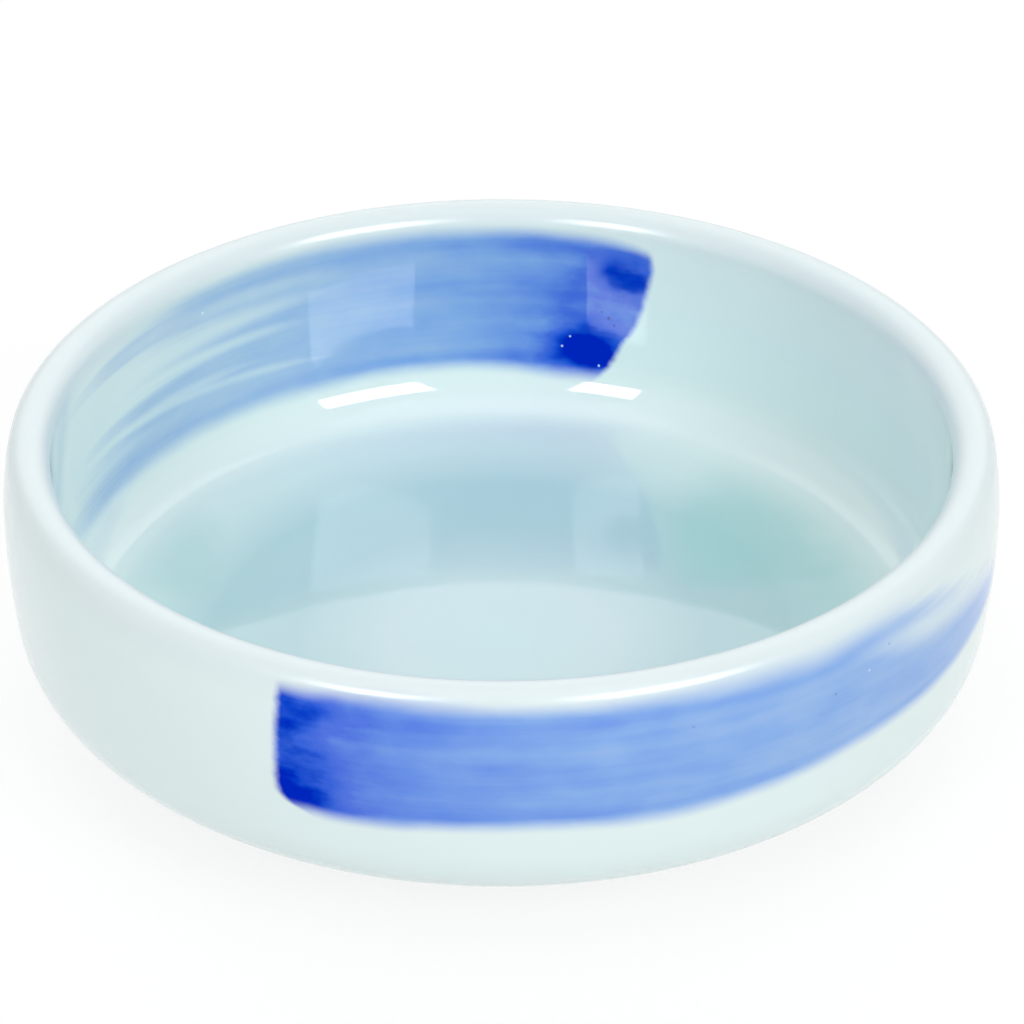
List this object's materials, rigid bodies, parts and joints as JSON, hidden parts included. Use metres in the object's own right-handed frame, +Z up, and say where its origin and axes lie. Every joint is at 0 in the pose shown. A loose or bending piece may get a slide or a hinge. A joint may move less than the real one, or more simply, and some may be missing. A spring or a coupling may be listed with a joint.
{
  "type": "soy sauce dish",
  "caption": "Small round porcelain dish with a low straight wall, rounded lip and foot ring, for holding soy sauce or another dip at the table.",
  "frame": {"origin": "centre of the foot ring's contact plane, on the table", "axes": "+Z up along the dish's axis of revolution, through the middle of the mouth; -Y is the pictured front, where the outer brush stroke lies"},
  "size_m": [0.095, 0.095, 0.0296],
  "materials": {
    "porcelain": "fired, unglazed, fine and matt where it shows on the foot ring",
    "glaze": "glossy pale blue-green glaze",
    "cobalt_outside": "glossy glaze stained by brushed cobalt",
    "cobalt_inside": "glossy glaze stained by brushed cobalt"
  },
  "bodies": {
    "root": {"porcelain_body": "porcelain", "glaze_coat": "glaze", "base_glaze": "glaze", "outer_stroke": "cobalt_outside", "inner_stroke": "cobalt_inside"}
  },
  "joints": []
}
